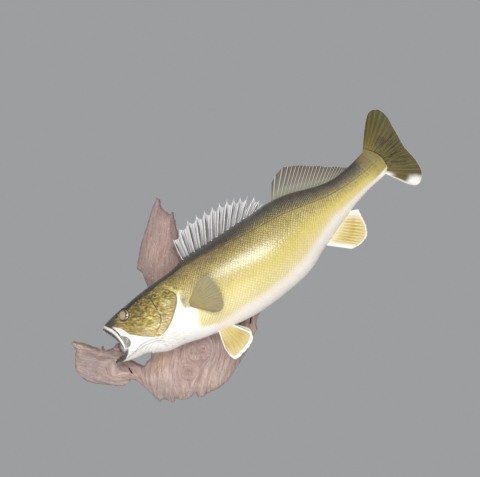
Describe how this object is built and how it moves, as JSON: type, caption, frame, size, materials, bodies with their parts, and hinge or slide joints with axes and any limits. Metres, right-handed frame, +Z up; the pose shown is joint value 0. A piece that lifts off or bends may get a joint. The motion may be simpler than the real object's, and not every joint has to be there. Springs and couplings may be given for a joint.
{
  "type": "mounted walleye",
  "caption": "Walleye, a pike-perch, as a full-round skin mount: open mouth, spread fins, climbing pose, on a driftwood slab that hangs on a wall.",
  "frame": {"origin": "on the flat back of the driftwood slab, behind the fish's shoulder, where the mount hangs on the wall", "axes": "+Y into the wall, out of the slab's back; +X towards the fish's tail and +Z up, so the fish shows its left side to a viewer on the -Y side"},
  "size_m": [0.7357, 0.1643, 0.6213],
  "materials": {
    "skin": "scaled fish skin under clear gloss lacquer: charcoal back, olive-gold flank, white belly",
    "pale_fins": "dried fin, silver-grey webs and pale rays under gloss lacquer",
    "gold_fins": "dried fin, gold rays with a broad white margin under gloss lacquer",
    "olive_fins": "dried fin, olive with dark streaks under gloss lacquer",
    "eyes": "polished glass eye with a pale milky pupil",
    "driftwood": "bare weathered driftwood, matt, pinkish grey"
  },
  "bodies": {
    "root": {"driftwood": "driftwood", "eye_left": "eyes", "eye_right": "eyes", "dorsal_fin_spiny": "pale_fins", "dorsal_fin_soft": "pale_fins", "anal_fin": "gold_fins", "pelvic_fin_left": "gold_fins", "pelvic_fin_right": "gold_fins", "tail_fin": "olive_fins", "pectoral_fin_left": "olive_fins", "pectoral_fin_right": "olive_fins", "head": "skin", "lower_jaw": "skin", "gill_cover_left": "skin", "gill_cover_right": "skin", "maxilla_left": "skin", "maxilla_right": "skin", "trunk_front": "skin", "trunk_rear": "skin", "tail": "skin"}
  },
  "joints": []
}
